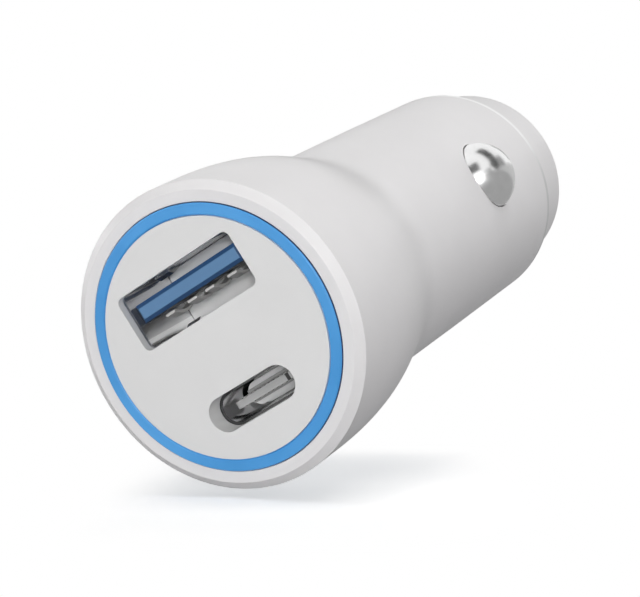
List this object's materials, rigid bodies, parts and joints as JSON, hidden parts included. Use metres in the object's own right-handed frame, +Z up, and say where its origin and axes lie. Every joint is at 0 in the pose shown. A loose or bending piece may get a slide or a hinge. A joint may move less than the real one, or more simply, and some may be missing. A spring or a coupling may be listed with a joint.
{
  "type": "car usb charger plug",
  "caption": "White plug-in car charger with a flared round head, blue light ring, USB-A and USB-C ports, domed ground contacts and a sprung tip contact.",
  "frame": {"origin": "on the plug's axis at the barrel's root, where the straight barrel begins behind the flared head", "axes": "+Y along the plug towards its tip, +Z up from the USB-C port to the USB-A port, +X to the right"},
  "size_m": [0.0258, 0.0598, 0.0258],
  "materials": {
    "white_plastic": "fine satin, moulded",
    "face_plastic": "fine matte, moulded",
    "ring_plastic": "lit light guide, satin",
    "blue_plastic": "moulded insulator",
    "grey_plastic": "moulded insulator",
    "shell_steel": "nickel plated sheet",
    "contact_metal": "plated contact strip",
    "chrome": "polished plating",
    "spring_steel": "drawn wire",
    "brass": "stamped strip",
    "circuit_board": "solder mask",
    "black_plastic": "moulded",
    "ferrite": "pressed powder core",
    "can": "drawn can",
    "ceramic_body": "ceramic chip",
    "led_body": "moulded lamp"
  },
  "bodies": {
    "plug": {"housing": "white_plastic", "nose_cap": "white_plastic", "face_plate": "face_plastic", "light_ring": "ring_plastic", "usb_a_insulator": "blue_plastic", "usb_c_insulator": "grey_plastic", "usb_a_shell": "shell_steel", "usb_c_shell": "shell_steel", "usb_a_contacts": "contact_metal", "usb_c_contacts": "contact_metal", "header_pins": "contact_metal", "ground_spring_right": "spring_steel", "ground_spring_left": "spring_steel", "tip_spring": "spring_steel", "ground_bracket": "brass", "tip_terminal": "brass", "power_board": "circuit_board", "port_board": "circuit_board", "header_strip": "black_plastic", "power_controller": "black_plastic", "port_controller": "black_plastic", "power_inductor": "ferrite", "input_capacitor": "can", "output_capacitor": "can", "chip_capacitors": "ceramic_body", "chip_fuse": "ceramic_body", "indicator_leds": "led_body"},
    "tip": {"tip_contact": "chrome"},
    "ground_right": {"ground_contact_right": "chrome"},
    "ground_left": {"ground_contact_left": "chrome"}
  },
  "joints": [
    {"name": "tip_press", "type": "slide", "parent": "plug", "child": "tip", "axis": [0, -1, 0], "range_m": [0, 0.0024], "stiffness_N_per_m": 500, "springref_m": -0.003, "deforming": ["tip_spring"]},
    {"name": "ground_right_press", "type": "slide", "parent": "plug", "child": "ground_right", "axis": [-1, 0, 0], "range_m": [0, 0.002], "stiffness_N_per_m": 600, "springref_m": -0.002, "deforming": ["ground_spring_right"]},
    {"name": "ground_left_press", "type": "slide", "parent": "plug", "child": "ground_left", "axis": [1, 0, 0], "range_m": [0, 0.002], "stiffness_N_per_m": 600, "springref_m": -0.002, "deforming": ["ground_spring_left"]}
  ]
}
